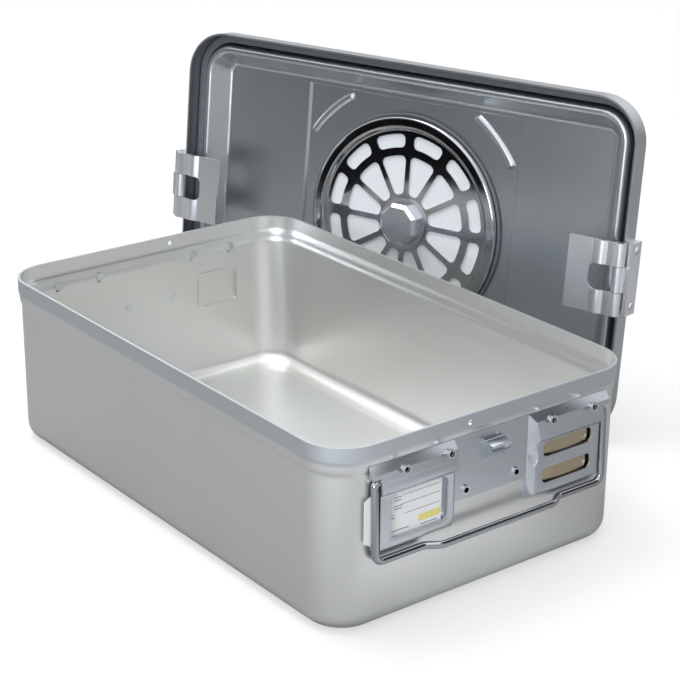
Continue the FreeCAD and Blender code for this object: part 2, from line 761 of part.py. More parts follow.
def stand_lid(shape):
    """Stand the lid on its long side behind the tray, turned and leaning back, touching the floor."""
    lean = math.radians(lid_lean)
    turn = math.radians(lid_turn)
    placed = shape.copy()
    placed.rotate(Vector(0, 0, 0), Vector(1, 0, 0), -90 - lid_lean)
    placed.rotate(Vector(0, 0, 0), Vector(0, 0, 1), lid_turn)
    half = lid_width / 2
    floor_lift = (skirt_height - shoulder_bend) * math.sin(lean) + shoulder_bend * (1 - math.cos(lean))
    up = Vector(-math.sin(turn) * math.sin(lean), math.cos(turn) * math.sin(lean), math.cos(lean))
    placed.translate(up * half + Vector(lid_stand_x, lid_stand_y, floor_lift))
    return placed


def export(name, shape):
    if len(shape.Solids) == 1:
        shape = shape.Solids[0]
    shape.exportStep(os.path.join("parts", name + ".step"))


os.makedirs("parts", exist_ok=True)
export("tray_shell", tray_shell())
end_pieces = {"end_plate": end_plate(), "label_holder": label_holder(), "label_card": label_card(),
              "tag_holder": tag_holder(), "tag_clips": tag_clips(), "catch": catch_nose(),
              "panel_rivets": panel_rivets(), "bail": bail()}
latch_pieces = {"latch_leaf": latch_leaf(), "latch_flap": latch_flap(), "latch_pin": latch_pin(),
                "latch_rivets": latch_rivets()}
lid_pieces = {"lid_shell": lid_shell(), "lid_gasket": lid_gasket(), "filter_sheet": filter_disc(),
              "filter_retainer": filter_retainer(), "retainer_seal": retainer_seal(),
              "retainer_knob": retainer_knob(), "lid_post": lid_post()}
for end, angle in (("near", 0), ("far", 180)):
    for name, shape in end_pieces.items():
        placed = shape.copy()
        placed.rotate(Vector(0, 0, 0), Vector(0, 0, 1), angle)
        export(end + "_" + name, placed)
for side, angle in (("right", 0), ("left", 180)):
    for name, shape in latch_pieces.items():
        placed = shape.copy()
        placed.rotate(Vector(0, 0, 0), Vector(0, 0, 1), angle)
        export(side + "_" + name, stand_lid(placed))
for name, shape in lid_pieces.items():
    export(name, stand_lid(shape))
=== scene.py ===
import math

import bpy
from mathutils import Matrix, Vector


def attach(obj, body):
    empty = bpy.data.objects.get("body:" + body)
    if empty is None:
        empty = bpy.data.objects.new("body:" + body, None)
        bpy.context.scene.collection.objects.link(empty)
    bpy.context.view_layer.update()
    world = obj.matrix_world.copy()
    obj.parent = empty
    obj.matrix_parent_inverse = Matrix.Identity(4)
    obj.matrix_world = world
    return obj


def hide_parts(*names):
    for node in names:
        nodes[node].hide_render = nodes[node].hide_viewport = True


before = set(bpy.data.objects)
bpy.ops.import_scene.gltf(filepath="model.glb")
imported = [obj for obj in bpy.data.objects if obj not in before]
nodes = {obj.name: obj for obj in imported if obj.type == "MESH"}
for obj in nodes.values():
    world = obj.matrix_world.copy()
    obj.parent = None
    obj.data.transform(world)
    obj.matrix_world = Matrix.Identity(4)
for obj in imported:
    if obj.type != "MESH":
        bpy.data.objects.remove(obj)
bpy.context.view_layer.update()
ends = ("near", "far")
latch_sides = ("right", "left")

# The tray. One blank of aluminium is deep drawn into a box with round corners, then etched and
# anodised, which leaves a satin grey skin with a fine even grain and no visible direction.
TRAY_COLOUR = "#E8E8E6"
TRAY_SHADE = "#DFE0DD"
TRAY_ROUGHNESS = 0.34
TRAY_GRAIN = 0.5
TRAY_CLOUDS = 90.0
TRAY_RELIEF = 0.000012
SATIN_SPREAD = 0.05


def linear(code):
    """The linear colour of an sRGB hex code."""
    channels = [int(code[start:start + 2], 16) / 255 for start in (1, 3, 5)]
    return [c / 12.92 if c <= 0.04045 else ((c + 0.055) / 1.055) ** 2.4 for c in channels] + [1.0]


def add_node(tree, kind, settings=None, **inputs):
    """Add a node with its properties, and give its inputs, by name or place, a value or a link."""
    node = tree.nodes.new(kind)
    for name, value in (settings or {}).items():
        setattr(node, name, value)
    for name, value in inputs.items():
        key = int(name[1:]) if name[0] == "_" else name.replace("_", " ")
        if isinstance(value, bpy.types.NodeSocket):
            tree.links.new(value, node.inputs[key])
        else:
            node.inputs[key].default_value = value
    return node


def per_metre(millimetres):
    """Texture scale, in cells a metre, for a pattern of that size."""
    return 1000.0 / millimetres


def begin_material(name, colour, metallic, roughness):
    """A material with its shader and its object coordinates."""
    material = bpy.data.materials.new(name)
    material.use_nodes = True
    tree = material.node_tree
    shader = tree.nodes["Principled BSDF"]
    shader.inputs["Base Color"].default_value = linear(colour)
    shader.inputs["Metallic"].default_value = metallic
    shader.inputs["Roughness"].default_value = roughness
    place = add_node(tree, "ShaderNodeTexCoord").outputs["Object"]
    return material, tree, shader, place


def vary_colour(tree, shader, factor, dark, light):
    """Let the base colour run between two colours with a pattern."""
    mix = add_node(tree, "ShaderNodeMix", {"data_type": "RGBA"}, Factor=factor,
                   _6=linear(dark), _7=linear(light))
    tree.links.new(mix.outputs[2], shader.inputs["Base Color"])


def vary_roughness(tree, shader, factor, low, high):
    """Let the roughness run between two values with a pattern."""
    spread = add_node(tree, "ShaderNodeMapRange", None, Value=factor, To_Min=low, To_Max=high)
    tree.links.new(spread.outputs[0], shader.inputs["Roughness"])


def raise_grain(tree, shader, height, depth):
    """Turn a pattern into relief of that depth in metres."""
    bump = add_node(tree, "ShaderNodeBump", None, Strength=1.0, Distance=depth, Height=height)
    tree.links.new(bump.outputs[0], shader.inputs["Normal"])


def satin_aluminium(name, colour, shade, roughness, grain, clouds, depth):
    """Etched and anodised aluminium: a fine even grain under slow, faint clouds."""
    material, tree, shader, place = begin_material(name, colour, 1.0, roughness)
    slow = add_node(tree, "ShaderNodeTexNoise", None, Vector=place, Scale=per_metre(clouds), Detail=3.0)
    fine = add_node(tree, "ShaderNodeTexNoise", None, Vector=place, Scale=per_metre(grain), Detail=2.0)
    vary_colour(tree, shader, slow.outputs[0], shade, colour)
    vary_roughness(tree, shader, fine.outputs[0], roughness - SATIN_SPREAD, roughness + SATIN_SPREAD)
    raise_grain(tree, shader, fine.outputs[0], depth)
    return material


def dress(node_name, material):
    """Give a CAD node its finish."""
    node = nodes[node_name]
    node.data.materials.clear()
    node.data.materials.append(material)


tray_skin = satin_aluminium("satin_anodised_aluminium", TRAY_COLOUR, TRAY_SHADE, TRAY_ROUGHNESS,
                            TRAY_GRAIN, TRAY_CLOUDS, TRAY_RELIEF)

# Sizes and places are in mm, and MM turns them into metres.
MM = 0.001
RIM_LENGTH = 445.0
RIM_WIDTH = 280.0
RIM_CORNER = 34.0
BAND_FOOT = 128.0
BAND_FADE = 1.0
BAND_PAINTED_SHADE = "#CED3D7"
BLEND_FOOT = 121.0
WALL_ZONE = 22.0
WALL_FORWARD = 3.2
MERGE_DISTANCE = 0.001
SMOOTH_ANGLE = 32


def select_only(piece):
    """Select one piece and nothing else."""
    bpy.ops.object.select_all(action="DESELECT")
    piece.select_set(True)
    bpy.context.view_layer.objects.active = piece


def merged_copy(node_name, piece_name):
    """A copy of a CAD node whose loose triangles are joined, as a piece of its own."""
    source = nodes[node_name]
    piece = source.copy()
    piece.data = source.data.copy()
    piece.name = piece_name
    piece.data.name = piece_name
    bpy.context.scene.collection.objects.link(piece)
    select_only(piece)
    bpy.ops.object.mode_set(mode="EDIT")
    bpy.ops.mesh.select_all(action="SELECT")
    bpy.ops.mesh.remove_doubles(threshold=MERGE_DISTANCE * MM)
    bpy.ops.object.mode_set(mode="OBJECT")
    bpy.ops.mesh.customdata_custom_splitnormals_clear()
    return piece


def finish_piece(piece, material, body, replaced=None):
    """Give a piece its finish, its body and its smooth shading."""
    piece.data.materials.clear()
    piece.data.materials.append(material)
    select_only(piece)
    bpy.ops.object.shade_smooth_by_angle(angle=math.radians(SMOOTH_ANGLE))
    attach(piece, body)
    if replaced:
        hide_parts(replaced)


# The rim band. Its outer side is painted a little darker and cooler than the drawn walls: painted shade
# that stands in for the darker reflections there. Outer faces are those that point away from the middle of
# the tray.
tree = tray_skin.node_tree
shader = tree.nodes["Principled BSDF"]
skin_colour = shader.inputs["Base Color"].links[0].from_socket
place = add_node(tree, "ShaderNodeTexCoord").outputs["Object"]
height = add_node(tree, "ShaderNodeSeparateXYZ", None, Vector=place).outputs["Z"]
on_band = add_node(tree, "ShaderNodeMapRange", None, Value=height,
                   From_Min=(BAND_FOOT - BAND_FADE) * MM, From_Max=(BAND_FOOT + BAND_FADE) * MM)
facing = add_node(tree, "ShaderNodeNewGeometry").outputs["Normal"]
outward = add_node(tree, "ShaderNodeVectorMath", {"operation": "DOT_PRODUCT"}, _0=facing, _1=place)
outer = add_node(tree, "ShaderNodeMath", {"operation": "GREATER_THAN"},
                 _0=outward.outputs["Value"], _1=0.0)
# Painted shade: the band's outer faces get the darker, cooler colour.
painted_band_shade = add_node(tree, "ShaderNodeMath", {"operation": "MULTIPLY"},
                  _0=on_band.outputs[0], _1=outer.outputs[0])
band_shade_mix = add_node(tree, "ShaderNodeMix", {"data_type": "RGBA"}, Factor=painted_band_shade.outputs[0],
                    _6=skin_colour, _7=linear(BAND_PAINTED_SHADE))
tree.links.new(band_shade_mix.outputs[2], shader.inputs["Base Color"])

# The walls. The photograph shows a smaller step under the rim band than the solid has, so the walls
# stand further out here, up to the soft blend into the band.
drawn_tray = merged_copy("tray_shell", "drawn_tray")
straight_x = RIM_LENGTH / 2 - RIM_CORNER
straight_y = RIM_WIDTH / 2 - RIM_CORNER
for vertex in drawn_tray.data.vertices:
    x, y, z = vertex.co / MM
    over_x = max(abs(x) - straight_x, 0.0)
    over_y = max(abs(y) - straight_y, 0.0)
    reach = math.hypot(over_x, over_y)
    if reach > RIM_CORNER - WALL_ZONE:
        share = min(max((BAND_FOOT - z) / (BAND_FOOT - BLEND_FOOT), 0.0), 1.0)
        forward = WALL_FORWARD * share * share * (3 - 2 * share) / reach
        vertex.co.x += math.copysign(over_x * forward, x) * MM
        vertex.co.y += math.copysign(over_y * forward, y) * MM
finish_piece(drawn_tray, tray_skin, "tray", "tray_shell")

# The end panels. Each is a plate of aluminium sheet with a card holder, a tag holder and a catch that
# are cast in aluminium. All are brushed across the panel and anodised, which leaves them cooler and a
# little darker than the tray, and riveted to its end wall.
PANEL_COLOUR = "#CDD1D6"
PANEL_SHADE = "#C2C7CD"
PANEL_ROUGHNESS = 0.3
PANEL_RELIEF = 0.00001
BRUSH_WIDTH = 0.35
BRUSH_LENGTH = 18.0
BRUSHED_SPREAD = 0.07


def brushed_aluminium(name, colour, shade, roughness, along, depth):
    """Brushed aluminium: fine grooves along one axis, which also break up the reflections."""
    material, tree, shader, place = begin_material(name, colour, 1.0, roughness)
    scale = [per_metre(BRUSH_LENGTH) if axis == along else per_metre(BRUSH_WIDTH) for axis in "XYZ"]
    stretched = add_node(tree, "ShaderNodeMapping", None, Vector=place, Scale=scale)
    grooves = add_node(tree, "ShaderNodeTexNoise", None, Vector=stretched.outputs[0], Scale=1.0, Detail=3.0)
    vary_colour(tree, shader, grooves.outputs[0], shade, colour)
    vary_roughness(tree, shader, grooves.outputs[0], roughness - BRUSHED_SPREAD, roughness + BRUSHED_SPREAD)
    raise_grain(tree, shader, grooves.outputs[0], depth)
    return material


panel_skin = brushed_aluminium("brushed_anodised_aluminium", PANEL_COLOUR, PANEL_SHADE,
                               PANEL_ROUGHNESS, "Y", PANEL_RELIEF)
PLATE_BACK = 220.2
PLATE_FACE = 222.0
PLATE_SIDE = 103.0
PLATE_FOOT = 59.8
PLATE_CENTRE_FOOT = 77.0
PLATE_TOP = 125.5
LABEL_SIDE = -35.7
TAG_SIDE = 33.5
FRAME_FACE = 226.2
FLANGE_FACE = 229.3
HOLDER_FOOT = 60.8
STEP_FOOT = 106.0
FLANGE_LAP = 3.0
FLANGE_FOOT = 112.0
FLANGE_TOP = 121.5
FLANGE_RADII = [0, 0, 3, 3, 4, 0]
EAR_SIDE = 110.0
EAR_FOOT = 116.4
CAST_EDGE = 0.9
CAST_ANGLE = 38
WINDOW_CORNER = 4.5
PIVOT_AXIS = 223.7
PIVOT_HEIGHT = 113.0
PIVOT_RADIUS = 3.0
PIVOT_INNER = 94.5
PIVOT_OUTER = 104.0

# Cutters reach past a face by CLEAR. Edges that lie within NEAR of a face count as lying in it.
CLEAR = 1.0
NEAR = 0.1


def slab(name, low, high):
    """A block between two corners in mm."""
    bpy.ops.object.select_all(action="DESELECT")
    middle = [(a + b) / 2 * MM for a, b in zip(low, high)]
    sides = [(b - a) * MM for a, b in zip(low, high)]
    bpy.ops.mesh.primitive_cube_add(size=1, location=middle, scale=sides)
    bpy.ops.object.transform_apply(location=True, rotation=True, scale=True)
    bpy.context.object.name = name
    return bpy.context.object


def bar_along_y(name, outline, y0, y1):
    """An outline of (x, z) points in mm, drawn out across the panel."""
    bpy.ops.object.select_all(action="DESELECT")
    bpy.ops.mesh.primitive_circle_add(vertices=len(outline), radius=MM, fill_type="NGON")
    piece = bpy.context.object
    piece.name = name
    for vertex, (x, z) in zip(piece.data.vertices, outline):
        vertex.co = Vector((x, y0, z)) * MM
    bpy.ops.object.mode_set(mode="EDIT")
    bpy.ops.mesh.select_all(action="SELECT")
    bpy.ops.mesh.extrude_region_move(TRANSFORM_OT_translate={"value": (0, (y1 - y0) * MM, 0)})
    bpy.ops.mesh.select_all(action="SELECT")
    bpy.ops.mesh.normals_make_consistent(inside=False)
    bpy.ops.object.mode_set(mode="OBJECT")
    return piece


def round_off(outline, radii, steps=6):
    """An outline with an arc of that radius at each of its corners."""
    points = []
    count = len(outline)
    for place, radius in enumerate(radii):
        corner = Vector(outline[place])
        back = (Vector(outline[place - 1]) - corner).normalized()
        ahead = (Vector(outline[(place + 1) % count]) - corner).normalized()
        if radius == 0:
            points.append(tuple(corner))
            continue
        half = back.angle(ahead) / 2
        centre = corner + (back + ahead).normalized() * radius / math.sin(half)
        start = corner + back * radius / math.tan(half) - centre
        end = corner + ahead * radius / math.tan(half) - centre
        for step in range(steps + 1):
            share = step / steps
            turned = start.slerp(end, share)
            points.append(tuple(centre + turned))
    return points


def bevel_where(piece, chosen, width, segments):
    """Round the edges that a test on both ends, in mm, picks out."""
    select_only(piece)
    bpy.ops.object.mode_set(mode="EDIT")
    bpy.ops.mesh.select_mode(type="EDGE")
    bpy.ops.mesh.select_all(action="DESELECT")
    bpy.ops.object.mode_set(mode="OBJECT")
    corners = [vertex.co / MM for vertex in piece.data.vertices]
    for edge in piece.data.edges:
        edge.select = chosen(corners[edge.vertices[0]], corners[edge.vertices[1]])
    bpy.ops.object.mode_set(mode="EDIT")
    bpy.ops.mesh.bevel(offset=width * MM, segments=segments)
    bpy.ops.object.mode_set(mode="OBJECT")


def combine(piece, other, operation):
    """Join, cut or keep what is common, and drop the other piece."""
    select_only(piece)
    work = piece.modifiers.new("combine", "BOOLEAN")
    work.operation = operation
    work.solver = "EXACT"
    work.object = other
    bpy.ops.object.modifier_apply(modifier=work.name)
    bpy.data.objects.remove(other)


def soften(piece, width):
    """Small even rounding of every sharp edge, as casting and tumbling leave it."""
    select_only(piece)
    edge = piece.modifiers.new("soften", "BEVEL")
    edge.width = width * MM
    edge.segments = 2
    edge.limit_method = "ANGLE"
    edge.angle_limit = math.radians(CAST_ANGLE)
    edge.use_clamp_overlap = True
    bpy.ops.object.modifier_apply(modifier=edge.name)


def runs_out(a, b):
    """Whether an edge runs out from the end wall."""
    return abs(a.x - b.x) > CLEAR


def round_window(y0, y1, z0, z1):
    """A cutter for a window with round corners that reaches out through a holder's front."""
    cutter = slab("cutter", (PLATE_FACE - CLEAR, y0, z0), (FLANGE_FACE + 3 * CLEAR, y1, z1))
    bevel_where(cutter, runs_out, WINDOW_CORNER, 5)
    return cutter


def flange_bar(name, y0, y1):
    """The upper part of a holder: rolled in under the rim band, and curved back to the frame below."""
    foot = STEP_FOOT - FLANGE_LAP
    outline = [(PLATE_FACE, foot), (FRAME_FACE, foot), (FRAME_FACE, STEP_FOOT),
               (FLANGE_FACE, FLANGE_FOOT), (FLANGE_FACE, FLANGE_TOP), (PLATE_FACE, PLATE_TOP)]
    return bar_along_y(name, round_off(outline, FLANGE_RADII), y0, y1)


def both_ends(near_piece, stem, material, replaced):
    """Finish the near piece, and the same one turned by half a turn for the far end."""
    far_piece = near_piece.copy()
    far_piece.data = near_piece.data.copy()
    bpy.context.scene.collection.objects.link(far_piece)
    for vertex in far_piece.data.vertices:
        vertex.co.x *= -1
        vertex.co.y *= -1
    for end, piece in (("near", near_piece), ("far", far_piece)):
        piece.name = end + "_" + stem
        piece.data.name = piece.name
        finish_piece(piece, material, "tray", end + "_" + replaced)


def pivot_bore(side):
    """A cutter for the bore that an end of the bail turns in."""
    middle = Vector((PIVOT_AXIS, side * (PIVOT_INNER + PIVOT_OUTER) / 2, PIVOT_HEIGHT))
    bpy.ops.mesh.primitive_cylinder_add(vertices=24, radius=PIVOT_RADIUS * MM,
                                        depth=(PIVOT_OUTER - PIVOT_INNER) * MM,
                                        location=middle * MM, rotation=(math.pi / 2, 0, 0))
    return bpy.context.object


# The plate. Aluminium sheet that lies flush with the rim band, cut away at its foot between the two
# holders, with a small hole over the catch and a bore on each side for the ends of the bail.
PLATE_HOLE = (1.5, 4.5, 119.6)
PLATE_HOLE_DEPTH = 4.0
PLATE_HOLE_OUT = 0.6
plate = slab("plate", (PLATE_BACK, -PLATE_SIDE, PLATE_FOOT), (PLATE_FACE, PLATE_SIDE, PLATE_TOP))
combine(plate, slab("cutter", (PLATE_BACK - CLEAR, LABEL_SIDE, PLATE_FOOT - CLEAR),
                    (PLATE_FACE + CLEAR, TAG_SIDE, PLATE_CENTRE_FOOT)), "DIFFERENCE")
radius, y, z = PLATE_HOLE
bpy.ops.mesh.primitive_cylinder_add(vertices=24, radius=radius * MM, depth=PLATE_HOLE_DEPTH * MM,
                                    location=Vector((PLATE_FACE + PLATE_HOLE_OUT, y, z)) * MM,
                                    rotation=(0, math.pi / 2, 0))
combine(plate, bpy.context.object, "DIFFERENCE")
for side in (-1, 1):
    combine(plate, pivot_bore(side), "DIFFERENCE")
both_ends(plate, "riveted_plate", panel_skin, "end_plate")

# The card holder. A cast frame with a round lower corner and a flange that rolls in under the band.
# Its window shows the card, which slides in from the outer side through a thin slot.
LABEL_CORNER = 9.0
LABEL_EDGE = 3.4
LABEL_WINDOW = (-93.4, -43.4, 68.7, 102.2)
CARD_SLOT_DEPTH = 1.3
CARD_SLOT_END = -44.0
CARD_SLOT_FOOT = 66.0
CARD_SLOT_TOP = 105.4


def lower_corner(a, b):
    """Whether an edge runs out from the wall at the lower inner corner."""
    return runs_out(a, b) and a.y > LABEL_SIDE - CLEAR and a.z < HOLDER_FOOT + CLEAR


def label_front(a, b):
    """Whether an edge of the frame's front lies along its foot or its inner side."""
    along_foot = max(a.z, b.z) < HOLDER_FOOT + LABEL_CORNER + NEAR and abs(a.y - b.y) > NEAR
    along_side = min(a.y, b.y) > LABEL_SIDE - LABEL_CORNER - NEAR and abs(a.z - b.z) > NEAR
    return min(a.x, b.x) > FRAME_FACE - NEAR and (along_foot or along_side)


label = slab("label", (PLATE_FACE, -PLATE_SIDE, HOLDER_FOOT),
             (FRAME_FACE, LABEL_SIDE, STEP_FOOT - CLEAR))
bevel_where(label, lower_corner, LABEL_CORNER, 6)
bevel_where(label, label_front, LABEL_EDGE, 4)
combine(label, flange_bar("flange", -EAR_SIDE, LABEL_SIDE), "UNION")
combine(label, slab("cutter",
                    (PLATE_FACE - 2 * CLEAR, -EAR_SIDE - 2 * CLEAR, STEP_FOOT - FLANGE_LAP - CLEAR),
                    (FLANGE_FACE + 2 * CLEAR, -PLATE_SIDE, EAR_FOOT)), "DIFFERENCE")
combine(label, round_window(*LABEL_WINDOW), "DIFFERENCE")
combine(label, slab("cutter", (PLATE_FACE - CLEAR, -PLATE_SIDE - 2 * CLEAR, CARD_SLOT_FOOT),
                    (PLATE_FACE + CARD_SLOT_DEPTH, CARD_SLOT_END, CARD_SLOT_TOP)), "DIFFERENCE")
combine(label, pivot_bore(-1), "DIFFERENCE")
soften(label, CAST_EDGE)
both_ends(label, "cast_card_holder", panel_skin, "label_holder")

# The tag holder. A deeper casting with a slanted inner side and a scoop in it for a finger. Its two
# windows show the spring clips in the chamber behind them, which hold the tags.
TAG_EDGE = 3.0
TAG_SLANT = 1.15
TAG_WEDGE = 20.0
CHAMBER_SIDE = 46.5
CHAMBER_WALL = 2.5
CHAMBER_FRONT = 1.4
TAG_WINDOW_SIDES = (45.6, 93.5)
TAG_WINDOW_FEET = (90.3, 69.5)
TAG_WINDOW_HEIGHT = 12.0
SCOOP_PLACE = Vector((229.5, 33.0, 92.5))
SCOOP_SIZE = Vector((7.0, 9.0, 11.5))


def tag_front(a, b):
    """Whether an edge of the frame's front lies along its foot or its outer side."""
    on_rim = max(a.z, b.z) < HOLDER_FOOT + NEAR or min(a.y, b.y) > PLATE_SIDE - NEAR
    return min(a.x, b.x) > FRAME_FACE - NEAR and on_rim


tag = slab("tag", (PLATE_FACE, TAG_SIDE, HOLDER_FOOT), (FRAME_FACE, PLATE_SIDE, STEP_FOOT - CLEAR))
bevel_where(tag, tag_front, TAG_EDGE, 4)
combine(tag, flange_bar("flange", TAG_SIDE, EAR_SIDE), "UNION")
combine(tag, slab("cutter", (PLATE_FACE - 2 * CLEAR, PLATE_SIDE, STEP_FOOT - FLANGE_LAP - CLEAR),
                  (FLANGE_FACE + 2 * CLEAR, EAR_SIDE + 2 * CLEAR, EAR_FOOT)), "DIFFERENCE")
wedge = slab("cutter", (PLATE_FACE - CLEAR, TAG_SIDE - TAG_WEDGE, HOLDER_FOOT - 2 * CLEAR),
             (FLANGE_FACE + 3 * CLEAR, TAG_SIDE, PLATE_TOP + 2 * CLEAR))
for vertex in wedge.data.vertices:
    if vertex.co.y > (TAG_SIDE - CLEAR) * MM:
        vertex.co.y = (TAG_SIDE + (vertex.co.x / MM - PLATE_FACE) * TAG_SLANT) * MM
combine(tag, wedge, "DIFFERENCE")
combine(tag, slab("cutter", (PLATE_FACE - CLEAR, CHAMBER_SIDE, HOLDER_FOOT + CHAMBER_WALL),
                  (FRAME_FACE - CHAMBER_FRONT, PLATE_SIDE - CHAMBER_WALL, STEP_FOOT - CLEAR)), "DIFFERENCE")
for foot in TAG_WINDOW_FEET:
    combine(tag, round_window(*TAG_WINDOW_SIDES, foot, foot + TAG_WINDOW_HEIGHT), "DIFFERENCE")
bpy.ops.mesh.primitive_uv_sphere_add(segments=32, ring_count=16, radius=MM, location=SCOOP_PLACE * MM,
                                     scale=SCOOP_SIZE)
bpy.ops.object.transform_apply(location=True, rotation=True, scale=True)
combine(tag, bpy.context.object, "DIFFERENCE")
combine(tag, pivot_bore(1), "DIFFERENCE")
soften(tag, CAST_EDGE)
both_ends(tag, "cast_tag_holder", panel_skin, "tag_holder")

# The catch nose, which the closed latch of the lid holds on to. A casting that is flared at its root
# and tapered to a round tip, with a bore across the tip for the tamper seal.
NOSE_HALF = 8.5
NOSE_TIP = 234.4
NOSE_EDGE = 0.6
NOSE_OUTLINE = [(PLATE_FACE, 103.8), (PLATE_FACE + 1.8, 105.8), (NOSE_TIP - 2.5, 109.2), (NOSE_TIP, 112.0),
                (NOSE_TIP, 117.2), (PLATE_FACE + 1.8, 116.0), (PLATE_FACE, 118.0)]
NOSE_RADII = [0, 2.4, 2.5, 2.6, 2.6, 2.4, 0]
SEAL_BORE = Vector((230.9, 0.0, 113.4))
SEAL_RADIUS = 2.1
SEAL_LENGTH = 30.0
nose = bar_along_y("nose", round_off(NOSE_OUTLINE, NOSE_RADII), -NOSE_HALF, NOSE_HALF)
bpy.ops.mesh.primitive_cylinder_add(vertices=32, radius=SEAL_RADIUS * MM, depth=SEAL_LENGTH * MM,
                                    location=SEAL_BORE * MM, rotation=(math.pi / 2, 0, 0))
combine(nose, bpy.context.object, "DIFFERENCE")
soften(nose, NOSE_EDGE)
both_ends(nose, "cast_catch", panel_skin, "catch")

# The rivets. Aluminium blind rivets, pulled from the front, so each head has a hollow in it. They are
# barrel tumbled, which leaves them brighter and smoother than the plates.
RIVET_PLACES = ((-84.0, 119.6, FLANGE_FACE), (-44.7, 120.0, FLANGE_FACE), (50.5, 119.8, FLANGE_FACE),
                (90.8, 119.4, FLANGE_FACE), (-23.9, 84.0, PLATE_FACE), (23.3, 84.4, PLATE_FACE))
RIVET_HEAD = 3.5
RIVET_CUP = 2.1
RIVET_RISE = 1.3
RIVET_LIP = 0.35
CUP_DEPTH = 2.6
SHANK_RADIUS = 1.9
TAIL_RADIUS = 3.2
TAIL_FACE = 217.2
TAIL_END = 218.2
TAIL_LAP = 0.1
rivet_skin = satin_aluminium("tumbled_aluminium", "#E3E5E7", "#C9CCCF", roughness=0.2, grain=0.8,
                             clouds=4.0, depth=0.000006)
for piece in ("right_latch_rivets", "left_latch_rivets"):
    dress(piece, rivet_skin)


def blind_rivet(y, z, face):
    """One rivet: a rounded head with a deep hollow, a shank, and a flat tail inside the wall."""
    lengths = ((TAIL_FACE, TAIL_END, TAIL_RADIUS), (TAIL_END - TAIL_LAP, face, SHANK_RADIUS),
               (face, face + RIVET_RISE, RIVET_HEAD))
    made = []
    for start, end, radius in lengths:
        bpy.ops.object.select_all(action="DESELECT")
        bpy.ops.mesh.primitive_cylinder_add(vertices=28, radius=radius * MM, depth=(end - start) * MM,
                                            location=Vector(((start + end) / 2, y, z)) * MM,
                                            rotation=(0, math.pi / 2, 0))
        bpy.ops.object.transform_apply(location=True, rotation=True, scale=True)
        made.append(bpy.context.object)
    head = made[-1]
    front = face + RIVET_RISE - NEAR
    bpy.ops.object.mode_set(mode="EDIT")
    bpy.ops.mesh.select_mode(type="FACE")
    bpy.ops.mesh.select_all(action="DESELECT")
    bpy.ops.object.mode_set(mode="OBJECT")
    for part in head.data.polygons:
        part.select = part.center.x > front * MM
    bpy.ops.object.mode_set(mode="EDIT")
    bpy.ops.mesh.inset(thickness=RIVET_LIP * MM)
    bpy.ops.mesh.inset(thickness=(RIVET_HEAD - RIVET_CUP - RIVET_LIP) * MM)
    bpy.ops.mesh.extrude_region_move(TRANSFORM_OT_translate={"value": (-CUP_DEPTH * MM, 0, 0)})
    bpy.ops.object.mode_set(mode="OBJECT")
    return made


rivets = []
for y, z, face in RIVET_PLACES:
    rivets.extend(blind_rivet(y, z, face))
bpy.ops.object.select_all(action="DESELECT")
for part in rivets:
    part.select_set(True)
bpy.context.view_layer.objects.active = rivets[0]
bpy.ops.object.join()
both_ends(bpy.context.object, "blind_rivets", rivet_skin, "panel_rivets")

# The spring clips, hinge pins and the post. Cold-rolled stainless steel strip and bar, left bright,
# with a slightly warm tone and faint rolling lines.
spring_skin = brushed_aluminium("cold_rolled_stainless_steel", "#CDBFA6", "#B5A78E", roughness=0.22,
                                along="Y", depth=0.000004)
for piece in ("right_latch_pin", "left_latch_pin", "lid_post"):
    dress(piece, spring_skin)

# In the photograph the clips are bowed less than in the solids and lie close in front of the plate.
CLIP_SEAT = 218.5
CLIP_FLATNESS = 0.36
for end in ends:
    clips = merged_copy(end + "_tag_clips", end + "_bowed_clips")
    side = 1 if end == "near" else -1
    for vertex in clips.data.vertices:
        out = side * vertex.co.x / MM
        vertex.co.x = side * (PLATE_FACE + (out - CLIP_SEAT) * CLIP_FLATNESS) * MM
    finish_piece(clips, spring_skin, "tray", end + "_tag_clips")

# The contents card. Stiff white paper board, cut with two clipped corners, that slides in behind the
# window. It is offset printed with a plain form: ruled lines, short bars and one yellow block.
PRINT_HEIGHT = 0.04
CARD_BACK = 222.3
CARD_FACE = 222.9
CARD_OUTLINE = ((-105.5, 65.0), (-46.5, 65.0), (-46.5, 105.4), (-105.5, 105.4), (-114.0, 100.9),
                (-114.0, 69.5))
GREY_BARS = ((-85.5, 96.6, 7, 0.8), (-85.5, 94.3, 6, 0.8), (-85.0, 90.0, 8, 0.8), (-85.0, 87.9, 7, 0.8),
             (-90.3, 84.1, 3, 0.8), (-89.5, 81.7, 4, 0.8), (-83.2, 71.9, 16, 0.8), (-57.5, 70.3, 15, 0.8))
RULED_LINES = ((-64.5, 97.2, 34), (-64.5, 90.6, 34), (-63.5, 82.9, 32))
RULE_WIDTH = 0.5
YELLOW_BLOCK = (-57.0, 75.6, 20, 5.2)
card_skin, tree, shader, place = begin_material("white_paper_board", "#F0F0EE",
                                                metallic=0.0, roughness=0.65)
fibres = add_node(tree, "ShaderNodeTexNoise", None, Vector=place, Scale=per_metre(0.4), Detail=4.0)
vary_colour(tree, shader, fibres.outputs[0], "#E6E6E3", "#F4F4F2")
raise_grain(tree, shader, fibres.outputs[0], 0.00001)
grey_ink = begin_material("grey_printing_ink", "#8C8F98", metallic=0.0, roughness=0.6)[0]
yellow_ink, tree, shader, place = begin_material("yellow_printing_ink", "#EBDD7C",
                                                 metallic=0.0, roughness=0.6)
screen = add_node(tree, "ShaderNodeTexNoise", None, Vector=place, Scale=per_metre(1.5), Detail=2.0)
vary_colour(tree, shader, screen.outputs[0], "#E2CF52", "#F2E9A6")


